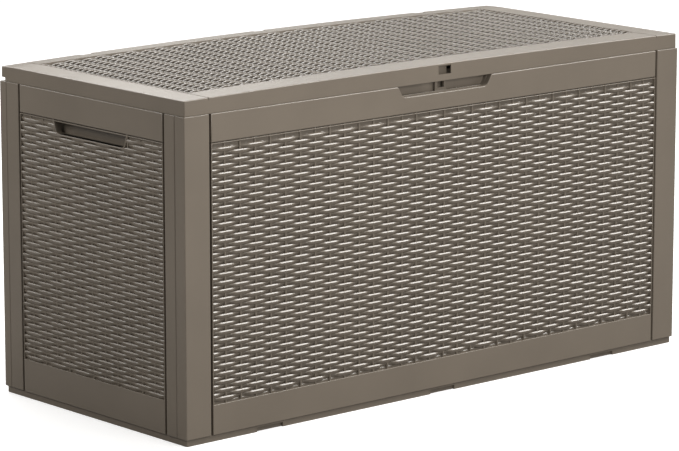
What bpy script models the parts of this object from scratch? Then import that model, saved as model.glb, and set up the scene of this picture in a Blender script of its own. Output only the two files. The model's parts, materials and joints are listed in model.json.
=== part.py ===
"""Deck storage box: a resin box with a woven look, a hinged lid and two gas struts.

Metres, +Z up. The origin is on the ground under the middle of the box, +X runs to the right along
its length and the front faces -Y. The lid is shut. Every piece is one closed solid.
"""

import math

import bmesh
import bpy
from mathutils import Matrix, Vector

# Overall size
LENGTH = 1.220
DEPTH = 0.537

# Fits between pieces
GAP = 0.0003
REACH = 0.010

# Heights
BODY_FOOT = 0.0125
BODY_TOP = 0.584
LID_EDGE = 0.612
LID_CROWN_FRONT = 0.0043
LID_CROWN_BACK = 0.0072

# Walls: double-skinned panels between hollow corner posts
PANEL = 0.022
SKIN = 0.003
POST_WIDTH = 0.056
POST_ROUND = 0.005
GROOVE_WIDTH = 0.004
GROOVE_DEPTH = 0.0045
FIELD_LOW = 0.066
FIELD_HIGH = 0.5335
FIELD_MARGIN = 0.002
FIELD_DEPTH = 0.004

# Finger recess at the top of the front panel
GRIP_TOP_HALF = 0.116
GRIP_LOW_HALF = 0.103
GRIP_LOW = 0.5636
GRIP_ROUND = 0.014
GRIP_DEEP = 0.018
GRIP_WELL_HALF = 0.0155
GRIP_WELL_DEEP = 0.025
GRIP_HOUSING = (0.126, 0.0285, 0.552)

# Hand pockets in the side panels
HAND_TOP_HALF = 0.106
HAND_LOW_HALF = 0.098
HAND_LOW = 0.508
HAND_ROUND = 0.010
HAND_DEEP = 0.041
HAND_ROOF = 0.556
HAND_LEDGE = 0.006
HAND_ROOF_HALF = 0.100
HAND_HOUSING = (0.112, 0.045, 0.499, 0.562)

# Base tray
BASE_INSET = 0.004
BASE_RIB = 0.010
CURB_TOP = 0.030
NOTCH_HALF = 0.030
NOTCH_HEIGHT = 0.008
BASE_CELLS = (10, 4)

# Lid
LID_DRAFT = 0.0025
LID_EDGE_ROUND = 0.003
LID_FIELD_FRONT = 0.063
LID_FIELD_BACK = 0.043
LID_FIELD_DEPTH = 0.003
LID_GROOVE_AT = 0.057
LID_CROWN_STEPS = 12
LINER_FOOT = 0.5865
LINER_SKIN = 0.0025
LINER_TOP = 0.6015
LINER_HALF_X = 0.600
LINER_FRONT = -0.245
LINER_BACK = 0.235
LINER_RIB = 0.003
LINER_CELLS = (10, 4)

# Padlock window in the lid's front lip and the hasp behind it
WINDOW_HALF = 0.0155
WINDOW_LOW = 0.596
WINDOW_HIGH = 0.6125
HASP_HALF = 0.014
HASP_BACK = 0.0135
HASP_THICK = 0.004
HASP_TOP = 0.6085
HASP_HOLE_HALF = 0.008
HASP_HOLE_LOW = 0.5705
HASP_HOLE_HIGH = 0.5815

# Hinges
HINGE_AT = (-0.417, 0.0, 0.417)
HINGE_NAMES = ("left", "middle", "right")
AXIS_Y = DEPTH / 2 - 0.012
AXIS_Z = 0.600
KNUCKLE_RADIUS = 0.007
KNUCKLE_HALF = 0.013
EAR_RADIUS = 0.006
EAR_INNER = 0.0135
EAR_OUTER = 0.0185
HINGE_NOTCH_HALF = 0.0145
REAR_LIP_FOOT = 0.591
LEAF_HALF = 0.0225
LEAF_FAR = 0.060
PIN_RADIUS = 0.003
PIN_HALF = 0.0200

# Screws
SCREW_HEAD = 0.004
SCREW_HEAD_HEIGHT = 0.0022
SCREW_SHANK = 0.0020
SCREW_LENGTH = 0.010

# Gas struts, as distances forward of and above the lid's hinge axis
STRUT_OFFSET = 0.560
STRUT_FOOT = (0.075, -0.262)
STRUT_HEAD = (0.085, -0.032)
TUBE_RADIUS = 0.009
TUBE_FROM = 0.016
TUBE_TO = 0.198
ROD_RADIUS = 0.004
ROD_FROM = 0.024
EYE_RADIUS = 0.0065
EYE_HALF = 0.004
STUD_RADIUS = 0.0035
CLEARANCE = 0.0003
BRACKET_HALF = 0.018
BRACKET_THICK = 0.003

# Places of screws and of the strut's upper bracket
BRACKET_DROPS = (0.030, 0.048)
LEAF_SCREW_AT = 0.045
BRACKET_SCREW = 0.012
HEAD_BRACKET_FAR = 0.586
HEAD_SCREW_IN = 0.008
STUD_REACH = 0.0035

ROUND_SIDES = 16


def clear_scene():
    for existing in list(bpy.data.objects):
        bpy.data.objects.remove(existing)


def plastic_or_metal(name, color, roughness, metallic):
    """A Principled material; color is linear red, green and blue."""
    material = bpy.data.materials.new(name)
    material.use_nodes = True
    shader = material.node_tree.nodes["Principled BSDF"]
    shader.inputs["Base Color"].default_value = (*color, 1.0)
    shader.inputs["Roughness"].default_value = roughness
    shader.inputs["Metallic"].default_value = metallic
    return material


# Small mesh tools


def add_box(mesh, low, high):
    """A closed box between two corners."""
    size = [b - a for a, b in zip(low, high)]
    centre = [(a + b) / 2 for a, b in zip(low, high)]
    place = Matrix.Translation(centre) @ Matrix.Diagonal((*size, 1.0))
    bmesh.ops.create_cube(mesh, size=1.0, matrix=place)


def add_prism(mesh, outline, to_space, start, end):
    """Draws an outline of (a, b) pairs out between two depths; to_space(a, b, depth) places a point."""
    near = [mesh.verts.new(to_space(a, b, start)) for a, b in outline]
    far = [mesh.verts.new(to_space(a, b, end)) for a, b in outline]
    count = len(outline)
    mesh.faces.new(near)
    mesh.faces.new(far)
    for i in range(count):
        j = (i + 1) % count
        mesh.faces.new((near[i], near[j], far[j], far[i]))


def add_turned(mesh, profile, place, sides=ROUND_SIDES):
    """A solid turned about place's Z from (radius, height) pairs; it starts and ends on the axis."""
    rings = []
    for radius, height in profile:
        if radius == 0:
            rings.append([mesh.verts.new(place @ Vector((0, 0, height)))] * sides)
            continue
        turns = [math.tau * (i + 0.5) / sides for i in range(sides)]
        points = [Vector((radius * math.cos(t), radius * math.sin(t), height)) for t in turns]
        rings.append([mesh.verts.new(place @ p) for p in points])
    for lower, upper in zip(rings, rings[1:]):
        for i in range(sides):
            j = (i + 1) % sides
            corners = dict.fromkeys((lower[i], lower[j], upper[j], upper[i]))
            mesh.faces.new(corners)


def cylinder_profile(radius, low, high):
    return [(0, low), (radius, low), (radius, high), (0, high)]


def arc(centre, radius, start, end, steps):
    """Points on an arc, with angles in degrees."""
    angles = [math.radians(start + (end - start) * i / steps) for i in range(steps + 1)]
    return [(centre[0] + radius * math.cos(a), centre[1] + radius * math.sin(a)) for a in angles]


def finish_mesh(name, mesh):
    bmesh.ops.recalc_face_normals(mesh, faces=mesh.faces)
    data = bpy.data.meshes.new(name)
    mesh.to_mesh(data)
    mesh.free()
    return data


def piece(name, mesh, material, place=None, smooth=False):
    """Makes a node from a bmesh and puts it in place."""
    data = finish_mesh(name, mesh)
    data.materials.append(material)
    if smooth:
        data.shade_smooth()
        data.set_sharp_from_angle(angle=math.radians(35))
    made = bpy.data.objects.new(name, data)
    bpy.context.scene.collection.objects.link(made)
    made.matrix_world = place or Matrix.Identity(4)
    return made


def boolean(target, operation, mesh, place=None):
    """Cuts or joins a helper shape, which stays hidden."""
    name = f"{target.name}_{operation.lower()}_{len(target.modifiers)}"
    helper = bpy.data.objects.new(name, finish_mesh(name, mesh))
    bpy.context.scene.collection.objects.link(helper)
    helper.matrix_world = place or Matrix.Identity(4)
    helper.hide_render = True
    helper.display_type = "WIRE"
    modifier = target.modifiers.new(name, "BOOLEAN")
    modifier.operation = operation
    modifier.solver = "EXACT"
    modifier.object = helper


def drill(target, places, radius, low, high):
    """Round holes about the Z of each place."""
    cutter = bmesh.new()
    for place in places:
        add_turned(cutter, cylinder_profile(radius, low, high), place)
    boolean(target, "DIFFERENCE", cutter)


# Base


def add_cells(mesh, low, high, cells, rib):
    """A grid of box cells between two corners, with ribs left between and around them."""
    step_x = (high[0] - low[0] - rib) / cells[0]
    step_y = (high[1] - low[1] - rib) / cells[1]
    for i in range(cells[0]):
        for j in range(cells[1]):
            x = low[0] + rib + i * step_x
            y = low[1] + rib + j * step_y
            add_box(mesh, (x, y, low[2]), (x + step_x - rib, y + step_y - rib, high[2]))


def base_tray(material):
    half_x = LENGTH / 2 - BASE_INSET
    half_y = DEPTH / 2 - BASE_INSET
    top = BODY_FOOT - GAP
    tray = bmesh.new()
    add_box(tray, (-half_x, -half_y, 0), (half_x, half_y, top))
    made = piece("base_tray", tray, material)

    curb_x = LENGTH / 2 - PANEL - GAP
    curb_y = DEPTH / 2 - PANEL - GAP
    curb = bmesh.new()
    add_box(curb, (-curb_x, -curb_y, top - SKIN / 2), (curb_x, curb_y, CURB_TOP))
    boolean(made, "UNION", curb)
    well = bmesh.new()
    add_box(well, (SKIN - curb_x, SKIN - curb_y, top), (curb_x - SKIN, curb_y - SKIN, CURB_TOP + REACH))
    boolean(made, "DIFFERENCE", well)

    cells = bmesh.new()
    add_cells(cells, (-half_x, -half_y, -REACH), (half_x, half_y, top - SKIN), BASE_CELLS, BASE_RIB)
    boolean(made, "DIFFERENCE", cells)

    notches = bmesh.new()
    for x in HINGE_AT:
        for side in (-1, 1):
            edges = sorted((side * (half_y - BASE_RIB / 2), side * (half_y + REACH)))
            near = (x - NOTCH_HALF, edges[0], -REACH)
            add_box(notches, near, (x + NOTCH_HALF, edges[1], NOTCH_HEIGHT))
    boolean(made, "DIFFERENCE", notches)


# Walls. A panel is drawn with its outer face on y = 0 and its inside towards +y.


def panel_place(turn, reach):
    """Puts a panel drawn at the origin against one side of the box."""
    return Matrix.Rotation(math.radians(turn), 4, "Z") @ Matrix.Translation((0, -reach, 0))


def panel_blank(name, span, void_top, place, material):
    """A double-skinned slab with a groove down each end and a sunk field for the weave."""
    half = span / 2 - POST_WIDTH - GAP
    slab = bmesh.new()
    add_box(slab, (-half, 0, BODY_FOOT), (half, PANEL, BODY_TOP))
    made = piece(name, slab, material, place)

    grooves = bmesh.new()
    for side in (-1, 1):
        edges = sorted((side * (half - GROOVE_WIDTH), side * (half + REACH)))
        add_box(grooves, (edges[0], -REACH, 0), (edges[1], GROOVE_DEPTH, BODY_TOP + REACH))
    boolean(made, "DIFFERENCE", grooves, place)

    field = half - GROOVE_WIDTH - FIELD_MARGIN
    sunk = bmesh.new()
    add_box(sunk, (-field, -REACH, FIELD_LOW), (field, FIELD_DEPTH, FIELD_HIGH))
    boolean(made, "DIFFERENCE", sunk, place)

    void = bmesh.new()
    add_box(void, (SKIN - half, GROOVE_DEPTH + SKIN, 0), (half - SKIN, PANEL - SKIN, void_top))
    boolean(made, "DIFFERENCE", void, place)
    return made


def cup_outline(top_half, low_half, top, low, radius):
    """A rounded trapezoid, wider at its top, going round anticlockwise from its lowest edge."""
    lean = math.atan2(top - low, top_half - low_half)
    centre = (low_half - radius * math.tan(lean / 2), low + radius)
    right = arc(centre, radius, -90, math.degrees(lean) - 90, 4) + [(top_half, top)]
    return right + [(-a, b) for a, b in reversed(right)]


def widened(top_half, low_half, top, low, extra):
    """The half width of a sloping side, carried on past the top."""
    return top_half + (top_half - low_half) / (top - low) * extra


def as_wall(a, b, depth):
    return (a, depth, b)


def front_panel(material):
    place = panel_place(0, DEPTH / 2)
    half, deep, foot = GRIP_HOUSING
    made = panel_blank("front_panel", LENGTH, foot - SKIN, place, material)
    housing = bmesh.new()
    add_box(housing, (-half, PANEL / 2, foot), (half, deep, BODY_TOP))
    boolean(made, "UNION", housing, place)

    top_half = widened(GRIP_TOP_HALF, GRIP_LOW_HALF, BODY_TOP, GRIP_LOW, REACH)
    outline = cup_outline(top_half, GRIP_LOW_HALF, BODY_TOP + REACH, GRIP_LOW, GRIP_ROUND)
    recess = bmesh.new()
    add_prism(recess, outline, as_wall, -REACH, GRIP_DEEP)
    boolean(made, "DIFFERENCE", recess, place)
    well = bmesh.new()
    near = (-GRIP_WELL_HALF, GRIP_DEEP - REACH, GRIP_LOW)
    add_box(well, near, (GRIP_WELL_HALF, GRIP_WELL_DEEP, BODY_TOP + REACH))
    boolean(made, "DIFFERENCE", well, place)


def back_panel(material):
    place = panel_place(180, DEPTH / 2)
    made = panel_blank("back_panel", LENGTH, BODY_TOP - SKIN, place, material)
    drill(made, bracket_screw_places(), SCREW_SHANK + CLEARANCE, -REACH, REACH)


def side_panel(name, turn, side, material):
    """A side panel has a hand pocket under its top band, with room for the fingers to curl up."""
    place = panel_place(turn, LENGTH / 2)
    half, deep, foot, roof = HAND_HOUSING
    made = panel_blank(name, DEPTH, foot - SKIN, place, material)
    housing = bmesh.new()
    add_box(housing, (-half, PANEL / 2, foot), (half, deep, roof))
    boolean(made, "UNION", housing, place)

    outline = cup_outline(HAND_TOP_HALF, HAND_LOW_HALF, FIELD_HIGH, HAND_LOW, HAND_ROUND)
    pocket = bmesh.new()
    add_prism(pocket, outline, as_wall, -REACH, HAND_DEEP)
    boolean(made, "DIFFERENCE", pocket, place)
    curl = bmesh.new()
    near = (-HAND_ROOF_HALF, HAND_LEDGE, FIELD_HIGH - HAND_LEDGE)
    add_box(curl, near, (HAND_ROOF_HALF, HAND_DEEP, HAND_ROOF))
    boolean(made, "DIFFERENCE", curl, place)
    drill(made, foot_screw_places(side), SCREW_SHANK + CLEARANCE, -REACH, REACH)


def ell_outline(grow, radius):
    """An L with its corner at the origin, drawn smaller all round by grow."""
    near = grow
    far = POST_WIDTH - grow
    leg = PANEL - grow
    corner = arc((near + radius, near + radius), radius, 180, 270, 4)
    return corner + [(far, near), (far, leg), (leg, leg), (leg, far), (near, far)]


def corner_post(name, side_x, side_y, material):
    """A hollow L-shaped post, open at both ends."""

    def stand(a, b, height):
        return (side_x * (LENGTH / 2 - a), side_y * (DEPTH / 2 - b), height)

    post = bmesh.new()
    add_prism(post, ell_outline(0, POST_ROUND), stand, BODY_FOOT, BODY_TOP)
    made = piece(name, post, material)
    core = bmesh.new()
    add_prism(core, ell_outline(SKIN, POST_ROUND - SKIN / 2), stand, 0, BODY_TOP + REACH)
    boolean(made, "DIFFERENCE", core)


# Lid


def lid_height(x, y):
    """The top of the lid, which rises to the middle of its length, and more at the back."""
    share = y / DEPTH + 0.5
    crown = LID_CROWN_FRONT + (LID_CROWN_BACK - LID_CROWN_FRONT) * share
    return LID_EDGE + crown * (1 - (x / (LENGTH / 2)) ** 2)


def add_crowned_block(mesh, xs, ys, foot, height, flare=0.0):
    """A block with a curved top over the lines xs and ys; its foot is wider by flare all round."""
    top = [[mesh.verts.new((x, y, height(x, y))) for y in ys] for x in xs]
    columns, rows = len(xs), len(ys)
    for i in range(columns - 1):
        for j in range(rows - 1):
            mesh.faces.new((top[i][j], top[i + 1][j], top[i + 1][j + 1], top[i][j + 1]))
    front = [(i, 0) for i in range(columns - 1)]
    right = [(columns - 1, j) for j in range(rows - 1)]
    back = [(i, rows - 1) for i in range(columns - 1, 0, -1)]
    left = [(0, j) for j in range(rows - 1, 0, -1)]
    rim = [top[i][j] for i, j in front + right + back + left]
    scale_x = 1 + flare / abs(xs[0])
    scale_y = 1 + flare / abs(ys[0])
    low = [mesh.verts.new((v.co.x * scale_x, v.co.y * scale_y, foot)) for v in rim]
    for i in range(len(rim)):
        j = (i + 1) % len(rim)
        mesh.faces.new((rim[i], rim[j], low[j], low[i]))
    mesh.faces.new(low)


def lid_shell(material):
    """The outer lid: bands round a sunk weave field, a groove near each end, a lip all round."""
    half_x = LENGTH / 2 - LID_DRAFT
    half_y = DEPTH / 2 - LID_DRAFT
    groove = LENGTH / 2 - LID_GROOVE_AT
    field = groove - GROOVE_WIDTH / 2 - FIELD_MARGIN
    step = LID_FIELD_DEPTH / 2
    field_front = LID_FIELD_FRONT - DEPTH / 2
    field_back = DEPTH / 2 - LID_FIELD_BACK

    def top(x, y):
        z = lid_height(x, y)
        if abs(x) > half_x - step or abs(y) > half_y - step:
            return z - LID_EDGE_ROUND
        if abs(abs(x) - groove) < step / 2:
            return z - LID_FIELD_DEPTH
        if abs(x) < field - step / 2 and field_front + step / 2 < y < field_back - step / 2:
            return z - LID_FIELD_DEPTH
        return z

    outer = [half_x, half_x - LID_EDGE_ROUND]
    marks = outer + [groove + GROOVE_WIDTH / 2, groove, groove - GROOVE_WIDTH / 2, field, field - step]
    inner = [field * i / LID_CROWN_STEPS * 2 for i in range(1, LID_CROWN_STEPS // 2)]
    xs = sorted([side * x for x in marks + inner for side in (-1, 1)] + [0.0])
    fronts = [-half_y, LID_EDGE_ROUND - half_y, field_front, field_front + step]
    backs = [field_back - step, field_back, half_y - LID_EDGE_ROUND, half_y]
    block = bmesh.new()
    add_crowned_block(block, xs, fronts + [0.0] + backs, BODY_TOP + GAP, top, LID_DRAFT)
    made = piece("lid_shell", block, material)

    def underside(x, y):
        return lid_height(x, y) - LID_FIELD_DEPTH - SKIN

    hollow = bmesh.new()
    inside_x = half_x - SKIN
    inside_y = half_y - SKIN
    steps = [inside_x * (2 * i / LID_CROWN_STEPS - 1) for i in range(LID_CROWN_STEPS + 1)]
    add_crowned_block(hollow, steps, [-inside_y, 0.0, inside_y], BODY_TOP - REACH, underside)
    boolean(made, "DIFFERENCE", hollow)

    rear = bmesh.new()
    reach_x = LENGTH / 2 + REACH
    add_box(rear, (-reach_x, AXIS_Y - 0.002, BODY_TOP - REACH), (reach_x, DEPTH / 2 + REACH, REAR_LIP_FOOT))
    boolean(made, "DIFFERENCE", rear)

    openings = bmesh.new()
    for x in HINGE_AT:
        near = (x - HINGE_NOTCH_HALF, AXIS_Y, BODY_TOP - REACH)
        add_box(openings, near, (x + HINGE_NOTCH_HALF, DEPTH / 2 + REACH, LID_EDGE + 2 * REACH))
    window_low = (-WINDOW_HALF, -DEPTH / 2 - REACH, WINDOW_LOW)
    add_box(openings, window_low, (WINDOW_HALF, SKIN - DEPTH / 2 + REACH, WINDOW_HIGH))
    boolean(made, "DIFFERENCE", openings)


def lid_liner(material):
    """The inner lid panel: a smooth face downwards with a grid of ribs above it."""
    low = (-LINER_HALF_X, LINER_FRONT, LINER_FOOT)
    high = (LINER_HALF_X, LINER_BACK, LINER_TOP)
    slab = bmesh.new()
    add_box(slab, low, high)
    made = piece("lid_liner", slab, material)
    cells = bmesh.new()
    foot = (low[0], low[1], LINER_FOOT + LINER_SKIN)
    add_cells(cells, foot, (high[0], high[1], LINER_TOP + REACH), LINER_CELLS, LINER_RIB)
    boolean(made, "DIFFERENCE", cells)
    drill(made, leaf_screw_places() + head_screw_places(), SCREW_SHANK + CLEARANCE, -REACH, REACH)


def lock_hasp(material):
    """An upright tab behind the lid's window, with a foot on the floor of the finger recess."""
    back = HASP_BACK - DEPTH / 2
    plate = bmesh.new()
    foot = GRIP_LOW + GAP
    add_box(plate, (-HASP_HALF, back, foot), (HASP_HALF, back + HASP_THICK, HASP_TOP))
    made = piece("lock_hasp", plate, material)
    ledge = bmesh.new()
    near = (-HASP_HALF, back + HASP_THICK / 2, foot)
    add_box(ledge, near, (HASP_HALF, GRIP_WELL_DEEP - DEPTH / 2 - GAP, foot + HASP_THICK))
    boolean(made, "UNION", ledge)
    shackle_hole = bmesh.new()
    low = (-HASP_HOLE_HALF, back - REACH, HASP_HOLE_LOW)
    add_box(shackle_hole, low, (HASP_HOLE_HALF, back + HASP_THICK + REACH, HASP_HOLE_HIGH))
    boolean(made, "DIFFERENCE", shackle_hole)


# Hinges. Their outlines are (forward, up) pairs from the hinge axis.


def as_hinge(forward, up, x):
    return (x, AXIS_Y - forward, AXIS_Z + up)


def across_x(x):
    """Turns a shape made about Z so that it lies along +X on the hinge axis."""
    return Matrix.Translation((x, AXIS_Y, AXIS_Z)) @ Matrix.Rotation(math.pi / 2, 4, "Y")


def bracket_front():
    """How far forward of the axis the hinge bracket's front face is."""
    return PANEL - (DEPTH / 2 - AXIS_Y) + GAP + BRACKET_THICK


def bracket_screw_places():
    """Screws through the hinge brackets into the back panel, heads towards the front."""
    turn = Matrix.Rotation(math.pi / 2, 4, "X")
    y = AXIS_Y - bracket_front()
    return [Matrix.Translation((x, y, AXIS_Z - drop)) @ turn for x in HINGE_AT for drop in BRACKET_DROPS]


def leaf_screw_places():
    """Screws up through the hinge leaves into the lid liner, heads down."""
    turn = Matrix.Rotation(math.pi, 4, "X")
    z = LINER_FOOT - GAP - BRACKET_THICK
    y = AXIS_Y - LEAF_SCREW_AT
    return [
        Matrix.Translation((x + side * LEAF_HALF / 2, y, z)) @ turn for x in HINGE_AT for side in (-1, 1)
    ]


def hinge_bracket(name, x, material):
    """The fixed half: a plate on the back panel, a foot over its top edge and a knuckle."""
    back = bracket_front() - BRACKET_THICK
    front = bracket_front()
    drop = BODY_TOP + GAP * 2 - AXIS_Z
    knuckle = arc((0, 0), KNUCKLE_RADIUS, 60, 200, 7)
    outline = [(front, -0.058), (front, -0.006)] + knuckle + [(-0.0045, drop), (back, drop), (back, -0.058)]
    bracket = bmesh.new()
    add_prism(bracket, outline, as_hinge, x - KNUCKLE_HALF, x + KNUCKLE_HALF)
    made = piece(name, bracket, material)
    drill(made, [across_x(x)], PIN_RADIUS + CLEARANCE, -REACH * 3, REACH * 3)
    places = [place for place in bracket_screw_places() if abs(place.translation.x - x) < KNUCKLE_HALF]
    drill(made, places, SCREW_SHANK + CLEARANCE, -REACH, REACH)


def hinge_leaf(name, x, material):
    """The moving half: a plate under the lid liner with two ears round the knuckle."""
    top = LINER_FOOT - GAP - AXIS_Z
    foot = top - BRACKET_THICK
    near = bracket_front() + GAP * 4
    knuckle = arc((0, 0), EAR_RADIUS, 75, 270, 8)
    arm = [(0.009, -0.0135), (near, foot), (LEAF_FAR, foot), (LEAF_FAR, top), (0.0203, top), (0.0203, -0.006)]
    leaf = bmesh.new()
    add_box(leaf, as_hinge(LEAF_FAR, foot, x - LEAF_HALF), as_hinge(near, top, x + LEAF_HALF))
    made = piece(name, leaf, material)
    ears = bmesh.new()
    for low, high in ((-EAR_OUTER, -EAR_INNER), (EAR_INNER, EAR_OUTER)):
        add_prism(ears, knuckle + arm, as_hinge, x + low, x + high)
    boolean(made, "UNION", ears)
    drill(made, [across_x(x)], PIN_RADIUS + CLEARANCE, -REACH * 3, REACH * 3)
    places = [place for place in leaf_screw_places() if abs(place.translation.x - x) < LEAF_HALF]
    drill(made, places, SCREW_SHANK + CLEARANCE, -REACH, REACH)


def hinge_pin(name, x, material):
    """A pin through both halves, with a low head at one end."""
    profile = [(0, -PIN_HALF), (PIN_RADIUS, -PIN_HALF), (PIN_RADIUS, PIN_HALF)]
    profile += [(PIN_RADIUS * 1.5, PIN_HALF), (PIN_RADIUS * 1.5, PIN_HALF + 0.0015), (0, PIN_HALF + 0.0015)]
    pin = bmesh.new()
    add_turned(pin, profile, across_x(x))
    piece(name, pin, material, smooth=True)


def screw(name, place, material):
    """A pan-head screw pointing down its place's -Z, its head resting on the surface there."""
    rim = SCREW_HEAD_HEIGHT * 0.45
    profile = [(0, -SCREW_LENGTH), (SCREW_SHANK, -SCREW_LENGTH * 0.8), (SCREW_SHANK, GAP)]
    profile += [(SCREW_HEAD, GAP), (SCREW_HEAD, rim), (SCREW_HEAD * 0.62, SCREW_HEAD_HEIGHT)]
    profile += [(0, SCREW_HEAD_HEIGHT)]
    body = bmesh.new()
    add_turned(body, profile, place, sides=10)
    piece(name, body, material, smooth=True)


# Gas struts


def strut_point(forward, up, side, offset=STRUT_OFFSET):
    return Vector((side * offset, AXIS_Y - forward, AXIS_Z + up))


def strut_place(side):
    """Its Z runs from the foot pivot to the head pivot, and its X across the box."""
    foot = strut_point(*STRUT_FOOT, side)
    along = (strut_point(*STRUT_HEAD, side) - foot).normalized()
    across = Vector((1, 0, 0))
    turn = Matrix((across, along.cross(across), along)).transposed().to_4x4()
    return Matrix.Translation(foot) @ turn


def strut_length():
    return math.dist(STRUT_FOOT, STRUT_HEAD)


def eye_place(side, distance):
    """An eye's axis lies across the box, at a distance along the strut."""
    return strut_place(side) @ Matrix.Translation((0, 0, distance)) @ Matrix.Rotation(math.pi / 2, 4, "Y")


def strut_tube(name, side, material):
    """The cylinder, bored for the rod, with a turned neck and an eye at its foot."""
    tube = bmesh.new()
    neck = [(0, EYE_RADIUS / 2), (EYE_HALF, EYE_RADIUS / 2), (EYE_HALF, TUBE_FROM)]
    shoulder = [(TUBE_RADIUS * 0.8, TUBE_FROM), (TUBE_RADIUS, TUBE_FROM + 0.003)]
    close = [(TUBE_RADIUS, TUBE_TO - 0.002), (TUBE_RADIUS * 0.8, TUBE_TO), (0, TUBE_TO)]
    add_turned(tube, neck + shoulder + close, strut_place(side))
    made = piece(name, tube, material, smooth=True)
    eye = bmesh.new()
    add_turned(eye, cylinder_profile(EYE_RADIUS, -EYE_HALF, EYE_HALF), eye_place(side, 0))
    boolean(made, "UNION", eye)
    drill(made, [eye_place(side, 0)], STUD_RADIUS + CLEARANCE, -REACH, REACH)
    drill(made, [strut_place(side)], ROD_RADIUS + CLEARANCE, ROD_FROM - 0.003, TUBE_TO + REACH)


def strut_rod(name, side, material):
    """The rod, with the eye at its head. The eye carries a blind socket for the stud on the lid."""
    head = strut_length()
    rod = bmesh.new()
    add_turned(rod, cylinder_profile(ROD_RADIUS, ROD_FROM, head - EYE_RADIUS / 2), strut_place(side))
    made = piece(name, rod, material, smooth=True)
    eye = bmesh.new()
    add_turned(eye, cylinder_profile(EYE_RADIUS, -EYE_HALF, EYE_HALF), eye_place(side, head))
    boolean(made, "UNION", eye)


def foot_screw_places(side):
    """Screws through a strut's foot bracket into the side panel, heads inwards."""
    x = side * (LENGTH / 2 - PANEL - GAP - BRACKET_THICK)
    turn = Matrix.Rotation(-side * math.pi / 2, 4, "Y")
    centre = strut_point(*STRUT_FOOT, side)
    return [
        Matrix.Translation((x, centre.y, centre.z + up)) @ turn for up in (-BRACKET_SCREW, BRACKET_SCREW)
    ]


def foot_bracket(name, side, material):
    """A wall plate with a boss and the stud that the strut's foot turns on."""
    wall = side * (LENGTH / 2 - PANEL - GAP)
    centre = strut_point(*STRUT_FOOT, side)
    face = wall - side * BRACKET_THICK
    xs = sorted((wall, face))
    plate = bmesh.new()
    low = (xs[0], centre.y - BRACKET_HALF / 2, centre.z - BRACKET_HALF)
    add_box(plate, low, (xs[1], centre.y + BRACKET_HALF / 2, centre.z + BRACKET_HALF))
    made = piece(name, plate, material)
    reach = LENGTH / 2 - PANEL - GAP - STRUT_OFFSET
    shoulder = reach - EYE_HALF - GAP
    stud = bmesh.new()
    profile = [(0, BRACKET_THICK / 2), (0.0075, BRACKET_THICK / 2), (0.0055, shoulder)]
    profile += [(STUD_RADIUS, shoulder), (STUD_RADIUS, reach + EYE_HALF + 0.0025)]
    profile += [(0, reach + EYE_HALF + 0.0025)]
    place = Matrix.Translation((wall, centre.y, centre.z)) @ Matrix.Rotation(-side * math.pi / 2, 4, "Y")
    add_turned(stud, profile, place)
    boolean(made, "UNION", stud)
    drill(made, foot_screw_places(side), SCREW_SHANK + CLEARANCE, -REACH, REACH)


def head_screw_places():
    """Screws up through the struts' head brackets into the lid liner, heads down."""
    turn = Matrix.Rotation(math.pi, 4, "X")
    places = []
    for side in (-1, 1):
        centre = strut_point(*STRUT_HEAD, side, offset=HEAD_BRACKET_FAR - HEAD_SCREW_IN)
        for shift in (-BRACKET_SCREW, BRACKET_SCREW):
            spot = (centre.x, centre.y + shift, LINER_FOOT - GAP - BRACKET_THICK)
            places.append(Matrix.Translation(spot) @ turn)
    return places


def head_bracket(name, side, material):
    """An angle under the lid liner; its stud stops just short of the strut's head."""
    centre = strut_point(*STRUT_HEAD, side)
    top = LINER_FOOT - GAP
    tab = STRUT_OFFSET + EYE_HALF + STUD_REACH
    xs = sorted((side * tab, side * HEAD_BRACKET_FAR))
    plate = bmesh.new()
    low = (xs[0], centre.y - BRACKET_HALF, top - BRACKET_THICK)
    add_box(plate, low, (xs[1], centre.y + BRACKET_HALF, top))
    made = piece(name, plate, material)

    def upright(a, b, x):
        return (side * x, centre.y + a, centre.z + b)

    rise = top - BRACKET_THICK / 2 - centre.z
    lug = arc((0, 0), 0.0065, 180, 360, 8) + [(0.010, rise), (-0.010, rise)]
    flap = bmesh.new()
    add_prism(flap, lug, upright, tab, tab + BRACKET_THICK)
    boolean(made, "UNION", flap)
    stud = bmesh.new()
    start = tab + BRACKET_THICK / 2
    end = STRUT_OFFSET + EYE_HALF + GAP * 2
    place = Matrix.Translation((0, centre.y, centre.z)) @ Matrix.Rotation(side * math.pi / 2, 4, "Y")
    add_turned(stud, cylinder_profile(STUD_RADIUS, end, start), place)
    boolean(made, "UNION", stud)
    spots = [place for place in head_screw_places() if place.translation.x * side > 0]
    drill(made, spots, SCREW_SHANK + CLEARANCE, -REACH, REACH)


def screws(prefix, places, material):
    for number, place in enumerate(places, start=1):
        screw(f"{prefix}_{number}", place, material)


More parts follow.
